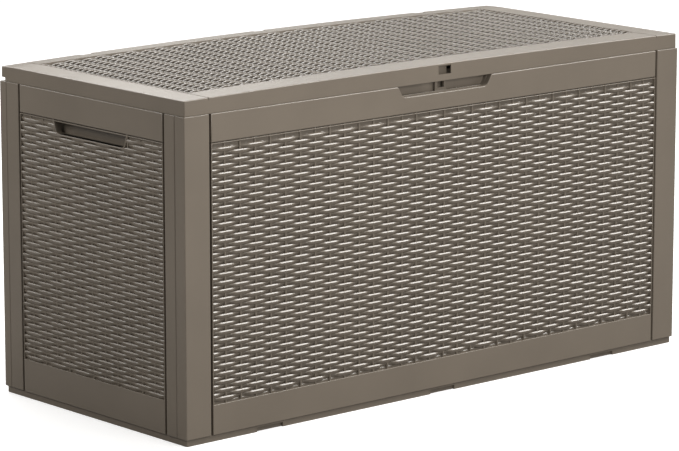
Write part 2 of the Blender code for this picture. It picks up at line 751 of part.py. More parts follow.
def build():
    clear_scene()
    resin = plastic_or_metal("taupe_resin", (0.200, 0.168, 0.133), 0.42, 0.0)
    inner_resin = plastic_or_metal("inner_resin", (0.172, 0.145, 0.116), 0.5, 0.0)
    zinc = plastic_or_metal("zinc_steel", (0.55, 0.55, 0.56), 0.35, 1.0)
    black = plastic_or_metal("black_paint", (0.012, 0.012, 0.013), 0.4, 0.0)
    chrome = plastic_or_metal("polished_rod", (0.62, 0.62, 0.64), 0.12, 1.0)

    base_tray(resin)
    front_panel(resin)
    back_panel(resin)
    side_panel("left_panel", -90, -1, resin)
    side_panel("right_panel", 90, 1, resin)
    for end, side_x in (("left", -1), ("right", 1)):
        corner_post(f"post_front_{end}", side_x, -1, resin)
        corner_post(f"post_back_{end}", side_x, 1, resin)

    lid_shell(resin)
    lid_liner(inner_resin)
    lock_hasp(resin)

    for which, x in zip(HINGE_NAMES, HINGE_AT):
        hinge_bracket(f"hinge_bracket_{which}", x, resin)
        hinge_leaf(f"hinge_leaf_{which}", x, resin)
        hinge_pin(f"hinge_pin_{which}", x, zinc)

    for end, side in (("left", -1), ("right", 1)):
        strut_tube(f"strut_cylinder_{end}", side, black)
        strut_rod(f"strut_rod_{end}", side, chrome)
        foot_bracket(f"strut_foot_bracket_{end}", side, zinc)
        head_bracket(f"strut_head_bracket_{end}", side, zinc)
        screws(f"foot_bracket_screw_{end}", foot_screw_places(side), zinc)

    screws("hinge_bracket_screw", bracket_screw_places(), zinc)
    screws("hinge_leaf_screw", leaf_screw_places(), zinc)
    screws("head_bracket_screw", head_screw_places(), zinc)


build()
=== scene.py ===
"""The looks of the deck storage box: taupe resin with a woven relief, a crowned lid and gas struts.

Metres, +Z up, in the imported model's own frame. The front faces -Y. Sizes start from the frame's
boxes; the rest are named below. A wall is drawn flat, as (a, b, depth): a runs along the wall as
seen from outside, b is the height and depth runs inwards from its outer face.
"""

import json
import math

import bmesh
import bpy
import numpy as np
from mathutils import Matrix, Vector

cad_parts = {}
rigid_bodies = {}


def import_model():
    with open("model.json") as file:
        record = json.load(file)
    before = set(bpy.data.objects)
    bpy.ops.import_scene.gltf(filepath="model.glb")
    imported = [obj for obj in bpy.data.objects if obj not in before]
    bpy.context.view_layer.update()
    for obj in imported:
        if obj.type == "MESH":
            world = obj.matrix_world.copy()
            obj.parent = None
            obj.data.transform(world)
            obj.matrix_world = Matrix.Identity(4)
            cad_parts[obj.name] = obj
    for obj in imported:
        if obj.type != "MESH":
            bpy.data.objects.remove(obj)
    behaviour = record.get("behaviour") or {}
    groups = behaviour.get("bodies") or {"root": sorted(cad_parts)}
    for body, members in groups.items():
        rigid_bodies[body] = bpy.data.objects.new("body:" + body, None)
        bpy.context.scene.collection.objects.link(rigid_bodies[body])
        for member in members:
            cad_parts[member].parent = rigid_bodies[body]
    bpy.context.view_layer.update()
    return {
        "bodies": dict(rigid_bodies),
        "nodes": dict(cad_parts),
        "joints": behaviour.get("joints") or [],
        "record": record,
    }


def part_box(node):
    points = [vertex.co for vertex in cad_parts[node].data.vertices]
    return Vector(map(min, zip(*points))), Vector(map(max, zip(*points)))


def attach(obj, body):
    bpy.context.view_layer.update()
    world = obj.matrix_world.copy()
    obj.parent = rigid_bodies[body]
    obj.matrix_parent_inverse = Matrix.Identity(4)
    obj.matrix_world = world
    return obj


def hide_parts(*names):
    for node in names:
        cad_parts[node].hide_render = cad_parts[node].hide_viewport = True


MM = 0.001

# Walls
EDGE_ROUND = 1.0 * MM
TOP_EDGE_ROUND = 1.8 * MM
GROOVE = 4.0 * MM
FRAME_RIB = 2.0 * MM
BAND_GAP = 1.6 * MM
FRAME_BACK = 0.1 * MM
FRAME_ROUND = 0.9 * MM
ROUND_STEPS = 3
PLATE = 12.0 * MM
SKIN = 3.0 * MM
SKIN_CHANNELS = 9
FLOOR_SQUARES = (18, 8)  # along and across
FRONT_FIELD_LOW = 66.5 * MM
SIDE_FIELD_LOW = 74.0 * MM
FIELD_HIGH = 533.5 * MM
POST_CORNER = 1.8 * MM
POST_TOP_ROUND = 1.08 * MM
POST_LINE_HALF = 1.6 * MM
POST_LINE_DEEP = 1.3 * MM
FRONT_LINE_AT = 27.0 * MM
BACK_LINE_AT = 20.0 * MM

# Finger recess in the front panel
GRIP_TOP_HALF = 116.0 * MM
GRIP_LOW_HALF = 103.0 * MM
GRIP_LOW = 563.6 * MM
GRIP_ROUND = 14.0 * MM
GRIP_DEEP = 18.0 * MM
GRIP_STEP = (11.0 * MM, 1.8 * MM)  # depth and height
GRIP_WELL = (15.5 * MM, 25.0 * MM)  # half width and depth

# Hand pockets in the side panels
HAND_TOP_HALF = 106.0 * MM
HAND_LOW_HALF = 98.0 * MM
HAND_LOW = 508.0 * MM
HAND_ROUND = 10.0 * MM
HAND_DEEP = 41.0 * MM
HAND_ROOF = 556.0 * MM
HAND_CORNER = 36.0 * MM
HAND_RIM = 3.0 * MM
POCKET_END_LINES = [(96 + 1.5 * i) * MM for i in range(10)]

# Lid
LIP_INSET = 2.5 * MM
LIP_FOOT_INSET = 2.2 * MM
LID_CORNER = 2.2 * MM
LID_FILLET = 1.8 * MM
LID_EDGE = 612.0 * MM
LID_CROWN_FRONT = 4.3 * MM
LID_CROWN_BACK = 7.2 * MM
LID_FIELD_FRONT = 63.0 * MM
LID_FIELD_BACK = 43.0 * MM
LID_GROOVE_AT = 57.0 * MM
LID_GROOVE_HALF = 1.2 * MM
LID_GROOVE_DEEP = 3.6 * MM
LID_BAND_DROP = 6.0 * MM
LID_BAND_FALL = 0.035  # per metre behind the weave field
LID_UNDER = 7.2 * MM
LID_WEAVE_BACK = -5.7 * MM
REAR_LIP_FOOT = 591.0 * MM
REAR_LIP_FROM = 254.5 * MM
WINDOW = (15.5 * MM, 596.0 * MM, 612.3 * MM)  # half width, foot and top
HINGE_NOTCH_HALF = 14.5 * MM
HINGE_NOTCH_DEEP = 12.0 * MM

# Weave: the grid's lines, as distances from a stake and as shares of a strand's width, and its heights
STAKE_LINES = (1.6 * MM, 2.2 * MM, 7.0 * MM, 11.0 * MM, 14.5 * MM, 17.3 * MM)
STRAND_LINES = (0.0, 0.04, 0.14, 0.38, 0.62, 0.77, 0.84, 0.92, 0.99)
STAKE_HALF = 1.6 * MM
STAKE_ROUND = 0.6 * MM
WEAVE_FLOOR = -5.5 * MM
WEAVE_MARGIN = -4.2 * MM
WEAVE_BACK = -8.0 * MM
SUNK_MOST = 5.5 * MM
CLOSEST_LINES = 0.3 * MM
WEAVE_GAP = 0.2 * MM
WEAVE_TUCK = 2.0 * MM

# A strand's section, from its lower to its upper edge: where the crest lies as a share of its width,
# and how far it falls to each edge in a straight slope and in a rounding
WALL_STRAND = dict(
    crest_at=0.77,
    slope_below=2.1 * MM,
    slope_above=1.6 * MM,
    round_below=2.2 * MM,
    round_above=0.3 * MM,
)
LID_STRAND = dict(
    crest_at=0.5,
    slope_below=0.4 * MM,
    slope_above=0.4 * MM,
    round_below=3.6 * MM,
    round_above=3.0 * MM,
)
# A weave: its pitches and number of strands, the plain strip above a wall's last strand or before the
# lid's first one, how far a strand swings behind its stakes and sways along them, how deep a stake lies,
# the level and gain of the wave that brings each strand out, which strands pass in front of the middle
# stake (parity), and how many pieces it is made in
FRONT_WEAVE = dict(
    strand=WALL_STRAND,
    column_pitch=34.6 * MM,
    row_pitch=7.4 * MM,
    rows=61,
    plain_end=11.4 * MM,
    swing=3.4 * MM,
    sway=0.5 * MM,
    stake=1.7 * MM,
    level=0.7,
    gain=2.1,
    parity=1,
    pieces=3,
)
SIDE_WEAVE = dict(
    strand=WALL_STRAND,
    column_pitch=35.6 * MM,
    row_pitch=7.63 * MM,
    rows=59,
    plain_end=8.8 * MM,
    swing=2.6 * MM,
    sway=0.3 * MM,
    stake=2.0 * MM,
    level=0.9,
    gain=2.6,
    parity=1,
    pieces=1,
)
LID_WEAVE = dict(
    strand=LID_STRAND,
    column_pitch=34.5 * MM,
    row_pitch=7.42 * MM,
    rows=57,
    plain_end=4.2 * MM,
    swing=5.2 * MM,
    sway=0.5 * MM,
    stake=3.0 * MM,
    level=0.5,
    gain=1.2,
    parity=0,
    pieces=3,
)

# Colours
TAUPE = (0.200, 0.168, 0.133)
# Painted shade: a darker copy of the taupe, so that the lid's weave reads darker than the rest of the resin
LID_WEAVE_SHADED_TAUPE = (0.155, 0.130, 0.103)
INNER_TAUPE = (0.172, 0.145, 0.116)
ZINC = (0.55, 0.55, 0.56)
BLACK = (0.012, 0.012, 0.013)
CHROME = (0.62, 0.62, 0.64)

# Camera and light
CAMERA_PLACE = (-4.385, -5.001, 1.620)
CAMERA_YAW = 41.10
CAMERA_PITCH = 11.44
CAMERA_LENS = 190.0
FLOOR_HALF = 9.0
AMBIENT = 0.18
LIT_POINT = (0.0, -0.1, 0.4)
# Name, place, width and height, and watts
LIGHTS = (
    ("high_right", (5.13, -2.65, 6.0), (1.6, 4.8), 700.0),
    ("behind", (4.1, 3.0, 2.75), (4.4, 1.2), 50.0),
    ("front", (-0.35, -1.9, 1.1), (1.1, 0.8), 15.5),
    ("left", (-2.4, 0.8, 1.7), (1.2, 0.8), 23.0),
    ("high_behind", (0.1, 2.9, 2.8), (4.0, 1.4), 84.0),
)


# Meshes


def quads(rows, columns):
    """Faces of a grid of points stored row by row."""
    first = np.arange(rows - 1)[:, None] * columns + np.arange(columns - 1)[None, :]
    corners = [first, first + 1, first + columns + 1, first + columns]
    return np.stack(corners, axis=-1).reshape(-1, 4)


def mesh_of(name, points, faces):
    """A mesh data block from points and the faces between them."""
    data = bpy.data.meshes.new(name)
    data.from_pydata(points, [], faces)
    return data


def show(name, data, material, body, nodes, sharp=35, weighted=True):
    """Makes a piece of a mesh: it rides on a body, stands for CAD nodes and takes a slot's finish."""
    data.materials.clear()
    data.materials.append(material)
    data.shade_smooth()
    data.set_sharp_from_angle(angle=math.radians(sharp))
    made = bpy.data.objects.new(name, data)
    bpy.context.scene.collection.objects.link(made)
    if weighted:
        modifier = made.modifiers.new("flat_faces_stay_flat", "WEIGHTED_NORMAL")
        modifier.keep_sharp = True
    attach(made, body)
    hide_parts(*nodes)


def finished(name, mesh):
    """A mesh data block from a bmesh, with its doubles merged and its faces turned outwards."""
    bmesh.ops.remove_doubles(mesh, verts=mesh.verts, dist=1e-7)
    bmesh.ops.recalc_face_normals(mesh, faces=mesh.faces)
    data = bpy.data.meshes.new(name)
    mesh.to_mesh(data)
    mesh.free()
    return data


def arc(centre, radius, start, end, steps):
    """Points on an arc, with angles in degrees."""
    angles = [math.radians(start + (end - start) * i / steps) for i in range(steps + 1)]
    return [(centre[0] + radius * math.cos(t), centre[1] + radius * math.sin(t)) for t in angles]


def inwards(outline, inset):
    """An anticlockwise outline moved inwards, with mitred corners."""
    points = [Vector(p) for p in outline]
    moved = []
    for before, here, after in zip(points[-1:] + points[:-1], points, points[1:] + points[:1]):
        first = (here - before).normalized()
        second = (after - here).normalized()
        left = Vector((-first.y, first.x))
        other = Vector((-second.y, second.x))
        moved.append(here + (left + other) * (inset / (1 + left.dot(other))))
    return moved


def band_between(mesh, ring, following):
    """Faces that join two closed rings with as many corners."""
    count = len(ring)
    for i in range(count):
        j = (i + 1) % count
        mesh.faces.new((ring[i], ring[j], following[j], following[i]))


def loft(mesh, rings, place):
    """Joins rings of (a, b, depth) points and caps both ends."""
    made = [[mesh.verts.new(place(*point)) for point in ring] for ring in rings]
    for near, far in zip(made, made[1:]):
        band_between(mesh, near, far)
    mesh.faces.new(made[0])
    mesh.faces.new(made[-1])


def rounded(mesh, outline, place, near, far, radius, far_radius=0.0):
    """A plate between two depths whose near edge, and far edge if asked, is rounded over."""
    turns = [math.radians(90 * i / ROUND_STEPS) for i in range(ROUND_STEPS + 1)]
    rings = []
    for turn in turns:
        inset = radius * (1 - math.sin(turn))
        depth = near + radius * (1 - math.cos(turn))
        rings.append([(*p, depth) for p in inwards(outline, inset)])
    for turn in turns if far_radius else turns[:1]:
        inset = far_radius * (1 - math.cos(turn))
        depth = far - far_radius * (1 - math.sin(turn))
        rings.append([(*p, depth) for p in inwards(outline, inset)])
    loft(mesh, rings, place)


def rectangle(low_a, high_a, low_b, high_b):
    """A rectangle's corners, anticlockwise."""
    return [(low_a, low_b), (high_a, low_b), (high_a, high_b), (low_a, high_b)]


def framed(mesh, outer, inner, place, near, far, radius):
    """A flat frame between two outlines with as many corners, rounded over along both near edges."""
    rings = [[(*p, far) for p in outer]]
    turns = [math.radians(90 * i / ROUND_STEPS) for i in range(ROUND_STEPS + 1)]
    for outline, sign, order in ((outer, 1, reversed(turns)), (inner, -1, turns)):
        for turn in order:
            inset = sign * radius * (1 - math.sin(turn))
            depth = near + radius * (1 - math.cos(turn))
            rings.append([(*p, depth) for p in inwards(outline, inset)])
    rings.append([(*p, far) for p in inner])
    made = [[mesh.verts.new(place(*point)) for point in ring] for ring in rings]
    for ring, following in zip(made, made[1:] + made[:1]):
        band_between(mesh, ring, following)


def wall_place(turn, reach):
    """Puts (a, b, depth) of a wall drawn at the origin against one side of the box."""
    matrix = Matrix.Rotation(math.radians(turn), 4, "Z") @ Matrix.Translation((0, -reach, 0))
    return lambda a, b, depth: matrix @ Vector((a, depth, b))


def relief(name, a_lines, rows, shape, place, back, keep=None):
    """A closed plate over a grid of lines along a and of row coordinates.

    shape gives (a, b, height) for the grid's points and place puts them in space. keep says which points'
    faces stay. The plate's far side lies flat, at the height back. Its points remember how deep they lie, as
    a share of SUNK_MOST, so that a material can paint shade into the hollows.
    """
    grid_a, grid_row = np.meshgrid(a_lines, rows)
    a, b, height = shape(grid_a, grid_row)
    faces = quads(len(rows), len(a_lines))
    if keep is not None:
        staying = keep(a, b).reshape(-1)
        faces = faces[staying[faces].all(axis=1)]
        used, faces = np.unique(faces, return_inverse=True)
        faces = faces.reshape(-1, 4)
        a, b, height = (grid.reshape(-1)[used] for grid in (a, b, height))
    flat = np.stack([a.reshape(-1), b.reshape(-1), height.reshape(-1)], axis=-1)
    data = closed_plate(name, flat, faces, back)
    co = np.empty(len(data.vertices) * 3)
    data.vertices.foreach_get("co", co)
    co = co.reshape(-1, 3)
    data.vertices.foreach_set("co", place(co[:, 0], co[:, 1], co[:, 2]).reshape(-1))
    # How deep each point lies, which the resin turns into painted shade in the hollows
    sunk = data.attributes.new("sunk", "FLOAT", "POINT")
    sunk.data.foreach_set("value", np.clip(-co[:, 2] / SUNK_MOST, 0, 1))
    data.update()
    return data


def closed_plate(name, points, faces, back):
    """An open sheet of faces closed by walls down from its edges and a flat far side."""
    mesh = bmesh.new()
    sheet = mesh_of(name + "_face", points, faces)
    mesh.from_mesh(sheet)
    bpy.data.meshes.remove(sheet)
    rim = [edge for edge in mesh.edges if edge.is_boundary]
    extruded = bmesh.ops.extrude_edge_only(mesh, edges=rim)["geom"]
    for vert in extruded:
        if isinstance(vert, bmesh.types.BMVert):
            vert.co.z = back
    loops = [edge for edge in extruded if isinstance(edge, bmesh.types.BMEdge)]
    loops = [edge for edge in loops if edge.is_boundary]
    bmesh.ops.triangle_fill(mesh, use_beauty=True, use_dissolve=False, edges=loops, normal=(0, 0, -1))
    bmesh.ops.recalc_face_normals(mesh, faces=mesh.faces)
    data = bpy.data.meshes.new(name)
    mesh.to_mesh(data)
    mesh.free()
    return data


# The weave


def weave_lines(half, pitch, extra=()):
    """Grid lines across the stakes, from -half to half; a stake stands in the middle and at every pitch."""
    most = math.floor(half / pitch) + 1
    lines = [-half, half, *extra]
    for column in range(-most, most + 1):
        lines.append(column * pitch)
        for offset in STAKE_LINES:
            lines.append(column * pitch + offset)
            lines.append(column * pitch - offset)
    lines = sorted(line for line in lines if -half <= line <= half)
    kept = [lines[0]]
    for line in lines[1:]:
        if line - kept[-1] > CLOSEST_LINES:
            kept.append(line)
    kept[-1] = half
    return kept


def strand_rows(first, last, low_margin, high_margin):
    """Row coordinates of the grid's lines from strand first up to strand last, with plain margins."""
    lines = [-low_margin * share for share in (1.0, 0.55, 0.2)] if low_margin else []
    lines += [row + share for row in range(first, last) for share in STRAND_LINES]
    lines.append(last)
    lines += [last + high_margin * share for share in (0.15, 0.4, 0.7, 1.0)] if high_margin else []
    return lines


def woven(weave, foot):
    """The shape function of a weave whose strand 0 starts at foot. A row coordinate counts strands."""
    strand = weave["strand"]
    peak = strand["crest_at"]

    def shape(a, row):
        column = a / weave["column_pitch"]
        number = np.clip(np.floor(row), 0, weave["rows"] - 1)
        share = row - number
        wave = np.cos(math.pi * (column - number - weave["parity"]))
        proud = np.clip(weave["level"] + weave["gain"] / 2 * wave, 0, 1)
        sway = weave["sway"] * (2 * proud - 1) * (2 * np.clip(share, 0, 1) - 1)
        b = foot + row * weave["row_pitch"] + sway
        below = share < peak
        across = np.clip(np.where(below, (peak - share) / peak, (share - peak) / (1 - peak)), 0, 1)
        slope = np.where(below, strand["slope_below"], strand["slope_above"] * np.sqrt(proud))
        curve = np.where(below, strand["round_below"], strand["round_above"])
        drop = slope * across + curve * (1 - (1 - across**4) ** 0.25)
        height = -weave["swing"] * (1 - proud) - drop
        outside = (share < 0) | (share > 1)
        height = np.where(outside, WEAVE_MARGIN, height)
        off_stake = np.abs(column - np.round(column)) * weave["column_pitch"]
        stake = -weave["stake"] - STAKE_ROUND * (off_stake / STAKE_HALF) ** 2
        stake = np.where(off_stake <= STAKE_HALF * 1.01, stake, WEAVE_FLOOR)
        return a, b, np.maximum(np.maximum(height, stake), WEAVE_FLOOR)

    return shape


def weave_pieces(name, weave, lines, foot, low_margin, high_margin, place, back, keep=None):
    """The weave's meshes, split between two strands; the margins are plain, in strand widths."""
    shape = woven(weave, foot)
    rows = weave["rows"]
    cuts = [round(rows * i / weave["pieces"]) for i in range(weave["pieces"] + 1)]
    for i, (first, last) in enumerate(zip(cuts, cuts[1:]), start=1):
        below = low_margin if first == 0 else 0
        above = high_margin if last == rows else 0
        across = strand_rows(first, last, below, above)
        yield relief(f"{name}_weave_{i}", lines, across, shape, place, back, keep)


def flat_wall(turn, reach):
    """The same as wall_place for arrays of a, b and height outwards."""
    matrix = np.array(Matrix.Rotation(math.radians(turn), 3, "Z"))

    def place(a, b, height):
        return np.stack([a, -reach - height, b], axis=-1) @ matrix.T

    return place


# Materials


def new_look(name):
    """A material with its node tree and its Principled shader."""
    material = bpy.data.materials.new(name)
    material.use_nodes = True
    return material, material.node_tree, material.node_tree.nodes["Principled BSDF"]


def noise(tree, scale, detail):
    """Noise over the object's own coordinates."""
    place = tree.nodes.new("ShaderNodeTexCoord")
    cloud = tree.nodes.new("ShaderNodeTexNoise")
    cloud.inputs["Scale"].default_value = scale
    cloud.inputs["Detail"].default_value = detail
    tree.links.new(place.outputs["Object"], cloud.inputs["Vector"])
    return cloud.outputs["Fac"]


def drifting(tree, cloud, color, shares, places):
    """A colour that drifts between two shares of itself as the cloud goes from one place to the other."""
    ramp = tree.nodes.new("ShaderNodeValToRGB")
    for element, share, position in zip(ramp.color_ramp.elements, shares, places):
        element.position = position
        element.color = (*[c * share for c in color], 1)
    tree.links.new(cloud, ramp.inputs["Fac"])
    return ramp.outputs["Color"]


def ranged(tree, value, start, end, low=0.0, high=1.0):
    """A value that goes from start to end as another goes from low to high."""
    span = tree.nodes.new("ShaderNodeMapRange")
    span.inputs["From Min"].default_value = low
    span.inputs["From Max"].default_value = high
    span.inputs["To Min"].default_value = start
    span.inputs["To Max"].default_value = end
    tree.links.new(value, span.inputs["Value"])
    return span.outputs["Result"]


def resin(name, color, roughness, shade=0.0):
    """Moulded polypropylene: faint mottling, a fine satin grain, uneven gloss, painted shade in hollows."""
    material, tree, shader = new_look(name)
    mottle = noise(tree, 7.0, 6.0)
    tint = drifting(tree, mottle, color, (0.95, 1.05), (0.3, 0.7))
    # Painted shade: the base colour darkens as the surface lies deeper, standing in for the shade in hollows
    sunk = tree.nodes.new("ShaderNodeAttribute")
    sunk.attribute_name = "sunk"
    hollow = ranged(tree, sunk.outputs["Fac"], 1.0, 1 - shade, 0.12, 0.75)
    shaded_tint = tree.nodes.new("ShaderNodeVectorMath")
    shaded_tint.operation = "SCALE"
    tree.links.new(tint, shaded_tint.inputs[0])
    tree.links.new(hollow, shaded_tint.inputs["Scale"])
    tree.links.new(shaded_tint.outputs["Vector"], shader.inputs["Base Color"])
    gloss = ranged(tree, mottle, roughness - 0.04, roughness + 0.04)
    tree.links.new(gloss, shader.inputs["Roughness"])
    bump = tree.nodes.new("ShaderNodeBump")
    bump.inputs["Strength"].default_value = 0.25
    bump.inputs["Distance"].default_value = 0.1 * MM
    tree.links.new(noise(tree, 1400.0, 2.0), bump.inputs["Height"])
    tree.links.new(bump.outputs["Normal"], shader.inputs["Normal"])
    shader.inputs["IOR"].default_value = 1.58
    return material


def metal(name, color, roughness, metallic, scale):
    """Plated or painted steel with uneven gloss, and its tone drifting a little over the surface."""
    material, tree, shader = new_look(name)
    shader.inputs["Metallic"].default_value = metallic
    cloud = noise(tree, scale, 5.0)
    tint = drifting(tree, cloud, color, (0.85, 1.12), (0.0, 1.0))
    tree.links.new(tint, shader.inputs["Base Color"])
    gloss = ranged(tree, cloud, roughness * 0.75, roughness * 1.25)
    tree.links.new(gloss, shader.inputs["Roughness"])
    return material


def slot_looks():
    """The look of each of the record's material slots."""
    return {
        # shade sets how much painted shade darkens the hollows of each look
        "taupe_resin": resin("taupe_resin_look", TAUPE, 0.34, shade=0.24),
        "inner_resin": resin("inner_resin_look", INNER_TAUPE, 0.45),
        "zinc_steel": metal("zinc_steel_look", ZINC, 0.32, 1.0, 90.0),
        "black_paint": metal("black_paint_look", BLACK, 0.35, 0.0, 60.0),
        "polished_rod": metal("polished_rod_look", CHROME, 0.10, 1.0, 40.0),
    }


# Walls and posts


class Wall:
    """A wall: the turn that puts it in place, its outer face's reach, half its width, and its weave.

    Its foot, top and thickness are those of the back panel, which all four walls share.
    """

    def __init__(self, name, turn, reach, half, field_low, weave):
        low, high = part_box("back_panel")
        self.name = name
        self.node = name + "_panel"
        self.turn = turn
        self.reach = reach
        self.half = half
        self.field_low = field_low
        self.weave = weave
        self.foot = low.z
        self.top = high.z
        self.thick = high.y - low.y
        self.place = wall_place(turn, reach)

    def add(self, part, mesh, paint):
        """Makes a piece of this wall from a bmesh."""
        show(f"{self.name}_{part}", finished(f"{self.name}_{part}", mesh), paint, "box", [self.node])

    def add_relief(self, data, paint, sharp):
        """Makes a piece of this wall from a relief."""
        show(data.name, data, paint, "box", [self.node], sharp=sharp, weighted=False)


def cup_outline(top_half, low_half, top, low, radius):
    """A rounded trapezoid, wider at its top, going round anticlockwise from its lowest edge."""
    lean = math.atan2(top - low, top_half - low_half)
    centre = (low_half - radius * math.tan(lean / 2), low + radius)
    right = arc(centre, radius, -90, math.degrees(lean) - 90, 6) + [(top_half, top)]
    return right + [(-a, b) for a, b in reversed(right)]


def top_band(half, top, notch=None):
    """The plain band along a wall's top, anticlockwise, with the finger recess cut down into it if asked."""
    outline = [(-half, FIELD_HIGH), (half, FIELD_HIGH), (half, top)]
    if notch:
        right = [(a, min(b, top)) for a, b in reversed(notch[: len(notch) // 2])]
        outline += right + [(-a, b) for a, b in reversed(right)]
    outline.append((-half, top))
    return outline


def plain_bands(wall, paint, notch=None):
    """A wall's plain bands: the top one, and the foot one with its thin side ribs."""
    half = wall.half - GROOVE
    band = bmesh.new()
    rounded(band, top_band(half, wall.top, notch), wall.place, 0, PLATE, TOP_EDGE_ROUND)
    wall.add("top_band", band, paint)
    frame = bmesh.new()
    edge = FIELD_HIGH - BAND_GAP
    outer = rectangle(-half, half, wall.foot, edge)
    inner = rectangle(FRAME_RIB - half, half - FRAME_RIB, wall.field_low, edge - FRAME_RIB)
    framed(frame, outer, inner, wall.place, FRAME_BACK, PLATE, FRAME_ROUND)
    wall.add("lower_frame", frame, paint)


def wall_weave(wall, paint, keep=None, extra=()):
    """The woven middle of a wall, running under the bands round it."""
    weave = wall.weave
    half = wall.half - GROOVE - FRAME_RIB - WEAVE_GAP
    lines = weave_lines(half, weave["column_pitch"], extra)
    pitch = weave["row_pitch"]
    foot = FIELD_HIGH - weave["plain_end"] - weave["rows"] * pitch
    low_margin = (foot - wall.field_low + WEAVE_TUCK) / pitch
    high_margin = (FIELD_HIGH + WEAVE_TUCK - foot) / pitch - weave["rows"]
    place = flat_wall(wall.turn, wall.reach)
    meshes = weave_pieces(wall.name, weave, lines, foot, low_margin, high_margin, place, WEAVE_BACK, keep)
    for data in meshes:
        wall.add_relief(data, paint, 38)


def inner_skin(wall, paint, hole=None):
    """The wall's inner face, with upright channels pressed into it and a hole (half, low, high) if asked."""
    half, foot, top = wall.half, wall.foot, wall.top
    spacing = half / SKIN_CHANNELS

    def shape(a, b):
        nearest = np.abs(a / spacing - np.round(a / spacing)) * spacing
        rib = np.clip(1 - nearest / (5 * MM), 0, 1)
        ends = np.clip((np.minimum(b - foot, top - b) - 12 * MM) / (8 * MM), 0, 1)
        return a, b, -1.2 * MM * rib * rib * (3 - 2 * rib) * ends

    columns = []
    for rib in range(-SKIN_CHANNELS, SKIN_CHANNELS + 1):
        columns += [rib * spacing + shift * MM for shift in (-5, -3.5, -2, 0, 2, 3.5, 5)]
    columns = sorted({-half, half, *[a for a in columns if abs(a) < half - 1 * MM]})
    rows = [foot, foot + 12 * MM, foot + 16 * MM, foot + 20 * MM, (foot + top) / 2]
    rows += [top - 20 * MM, top - 16 * MM, top - 12 * MM, top]
    keep = None
    if hole:
        hole_half, low, high = hole
        columns += [-hole_half, hole_half]
        rows += [edge for edge in (low, high) if edge < top]

        def keep(a, b):
            return (np.abs(a) >= hole_half) | (b <= low) | (b >= high)

    place = flat_wall(wall.turn + 180, wall.thick - wall.reach)
    data = relief(wall.name + "_inner_skin", sorted(columns), sorted(rows), shape, place, -SKIN, keep)
    wall.add_relief(data, paint, 60)


def post_outline(width, thick, line_at):
    """An L in plan from the corner: a along the front, b along the side with a fine line pressed into it."""
    edge = 1.5 * MM
    outline = arc((POST_CORNER, POST_CORNER), POST_CORNER, 180, 270, 5)
    outline += arc((width - edge, edge), edge, -90, 0, 3)
    outline += [(width, thick), (thick, thick), (thick, width)]
    outline += arc((edge, width - edge), edge, 90, 180, 3)
    outline += [(0.0, line_at + POST_LINE_HALF), (POST_LINE_DEEP, line_at), (0.0, line_at - POST_LINE_HALF)]
    return outline


def post(name, thick, line_at, paint):
    """A corner post, drawn from its own corner of the box."""
    low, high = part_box(name)
    side_x = math.copysign(1, low.x + high.x)
    side_y = math.copysign(1, low.y + high.y)
    corner_x = max(abs(low.x), abs(high.x))
    corner_y = max(abs(low.y), abs(high.y))

    def place(a, b, depth):
        return Vector((side_x * (corner_x - a), side_y * (corner_y - b), high.z - depth))

    outline = post_outline(high.x - low.x, thick, line_at)
    made = bmesh.new()
    rounded(made, outline, place, 0, high.z - low.z, POST_TOP_ROUND, EDGE_ROUND)
    show(name + "_cover", finished(name, made), paint, "box", [name])


def grip_recess(wall, paint):
    """The finger recess's inside, with a low step along its foot and a well behind the hasp."""
    inner = open_cup(GRIP_TOP_HALF, GRIP_LOW_HALF, wall.top + SKIN, GRIP_LOW, GRIP_ROUND)
    outer = inwards(inner, -SKIN)
    outer[0].y = wall.top
    outer[-1].y = wall.top
    half, deep = GRIP_WELL
    block = bmesh.new()
    rounded(block, [tuple(p) for p in outer], wall.place, PLATE - 1 * MM, deep + SKIN, 0.3 * MM)
    hollow = bmesh.new()
    loft(hollow, [[(*p, depth) for p in inner] for depth in (-SKIN, GRIP_DEEP)], wall.place)
    well = bmesh.new()
    mouth = rectangle(-half, half, GRIP_LOW, wall.top + SKIN)
    loft(well, [[(*p, depth) for p in mouth] for depth in (PLATE, deep)], wall.place)
    cutters = [finished("grip_hollow", hollow), finished("grip_well", well)]
    shell = cut("grip_recess_shell", finished("grip_block", block), cutters)
    show("grip_recess_shell", shell, paint, "box", [wall.node])
    depth, height = GRIP_STEP
    step = bmesh.new()
    outline = rectangle(-GRIP_LOW_HALF, GRIP_LOW_HALF, GRIP_LOW - 0.5 * MM, GRIP_LOW + height)
    rounded(step, outline, wall.place, depth, GRIP_DEEP + 0.5 * MM, 0.8 * MM)
    show("grip_recess_step", finished("grip_step", step), paint, "box", [wall.node])


def inside(outline, a, b):
    """Which points lie inside an outline, for arrays of a and b."""
    found = np.zeros(a.shape, bool)
    for (a0, b0), (a1, b1) in zip(outline, outline[1:] + outline[:1]):
        if b0 == b1:
            continue
        crossing = (b0 > b) != (b1 > b)
        found ^= crossing & (a < (a1 - a0) * (b - b0) / (b1 - b0) + a0)
    return found


def open_cup(top_half, low_half, top, low, radius):
    """The same trapezoid as a path open at its top: from the top left, round the foot, to the top right."""
    outline = cup_outline(top_half, low_half, top, low, radius)
    half = len(outline) // 2
    return outline[half:] + outline[:half]


def strip(path, width, top):
    """A strip of that width along the outside of an open cup path, as a closed outline."""
    outer = [Vector(p) for p in inwards(path, -width)]
    outer[0].y = top
    outer[-1].y = top
    return [tuple(p) for p in outer] + [tuple(p) for p in reversed(path)]


